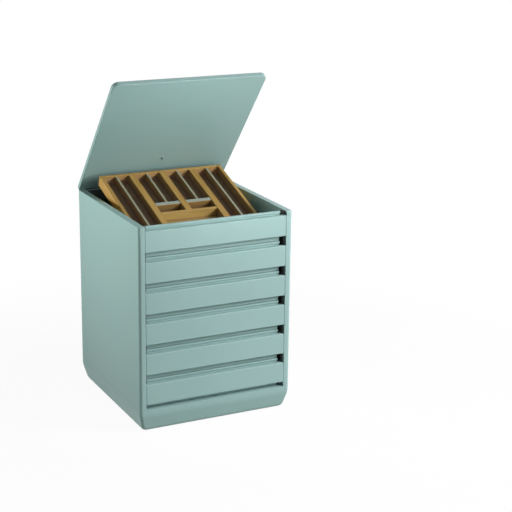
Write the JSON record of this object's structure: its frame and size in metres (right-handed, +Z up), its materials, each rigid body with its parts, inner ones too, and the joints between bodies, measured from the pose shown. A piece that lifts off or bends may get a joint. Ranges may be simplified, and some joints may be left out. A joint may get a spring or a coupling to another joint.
{
  "type": "chest of drawers",
  "caption": "Box-shaped chest of drawers with finger grooves between the fronts, a lifting lid and a divided wooden tray that tilts up.",
  "frame": {"origin": "on the floor, under the middle of the part's box as it stands with the lid raised", "axes": "+Z up, -Y towards the side where the drawers open, +X to the right seen from that side"},
  "size_m": [0.45, 0.458, 0.9267],
  "materials": {
    "lacquer": "satin lacquered board, pale blue-green",
    "dark_plastic": "moulded, matt charcoal",
    "tray_wood": "oiled light wood",
    "divider": "pale satin strip",
    "steel": "burnished",
    "stud_rubber": "matt"
  },
  "bodies": {
    "case": {"base_plinth": "lacquer", "floor_panel": "lacquer", "left_side": "lacquer", "right_side": "lacquer", "back_panel": "lacquer", "hinge_case_leaf": "steel", "hinge_pin": "steel", "drawer_1_guide_left": "dark_plastic", "drawer_1_guide_right": "dark_plastic", "drawer_2_guide_left": "dark_plastic", "drawer_2_guide_right": "dark_plastic", "drawer_3_guide_left": "dark_plastic", "drawer_3_guide_right": "dark_plastic", "drawer_4_guide_left": "dark_plastic", "drawer_4_guide_right": "dark_plastic", "drawer_5_guide_left": "dark_plastic", "drawer_5_guide_right": "dark_plastic", "drawer_6_guide_left": "dark_plastic", "drawer_6_guide_right": "dark_plastic"},
    "lid": {"lid": "lacquer", "lid_stud": "stud_rubber", "hinge_lid_leaf": "steel"},
    "drawer_1": {"drawer_1_front": "lacquer", "drawer_1_inner_front": "lacquer", "drawer_1_box": "dark_plastic"},
    "drawer_2": {"drawer_2_front": "lacquer", "drawer_2_inner_front": "lacquer", "drawer_2_box": "dark_plastic"},
    "drawer_3": {"drawer_3_front": "lacquer", "drawer_3_inner_front": "lacquer", "drawer_3_box": "dark_plastic"},
    "drawer_4": {"drawer_4_front": "lacquer", "drawer_4_inner_front": "lacquer", "drawer_4_box": "dark_plastic"},
    "drawer_5": {"drawer_5_front": "lacquer", "drawer_5_inner_front": "lacquer", "drawer_5_box": "dark_plastic"},
    "drawer_6": {"drawer_6_front": "lacquer", "drawer_6_inner_front": "lacquer", "drawer_6_box": "dark_plastic"},
    "tray": {"tray_floor": "tray_wood", "tray_left_rail": "tray_wood", "tray_right_rail": "tray_wood", "tray_rear_rail": "tray_wood", "tray_front_rail": "tray_wood", "tray_bar_1": "tray_wood", "tray_bar_2": "tray_wood", "tray_bar_3": "tray_wood", "tray_cross_wall": "tray_wood", "tray_divider_1": "divider", "tray_divider_2": "divider", "tray_divider_3": "divider", "tray_divider_4": "divider", "tray_cross_divider_1": "divider", "tray_cross_divider_2": "divider", "tray_pivot_pin_left": "steel", "tray_pivot_pin_right": "steel"}
  },
  "joints": [
    {"name": "lid_hinge", "type": "hinge", "parent": "case", "child": "lid", "pos_m": [0, 0.21948, 0.57525], "axis": [-1, 0, 0], "range_deg": [-50, 0]},
    {"name": "drawer_1_slide", "type": "slide", "parent": "case", "child": "drawer_1", "axis": [0, -1, 0], "range_m": [0, 0.3]},
    {"name": "drawer_2_slide", "type": "slide", "parent": "case", "child": "drawer_2", "axis": [0, -1, 0], "range_m": [0, 0.3]},
    {"name": "drawer_3_slide", "type": "slide", "parent": "case", "child": "drawer_3", "axis": [0, -1, 0], "range_m": [0, 0.3]},
    {"name": "drawer_4_slide", "type": "slide", "parent": "case", "child": "drawer_4", "axis": [0, -1, 0], "range_m": [0, 0.3]},
    {"name": "drawer_5_slide", "type": "slide", "parent": "case", "child": "drawer_5", "axis": [0, -1, 0], "range_m": [0, 0.3]},
    {"name": "drawer_6_slide", "type": "slide", "parent": "case", "child": "drawer_6", "axis": [0, -1, 0], "range_m": [0, 0.3]},
    {"name": "tray_tilt", "type": "hinge", "parent": "drawer_1", "child": "tray", "pos_m": [0, -0.11242, 0.51366], "axis": [1, 0, 0], "range_deg": [-19, 0]}
  ],
  "couplings": [
    {"joint": "tray_tilt", "follows": "lid_hinge", "ratio": 0.38}
  ]
}
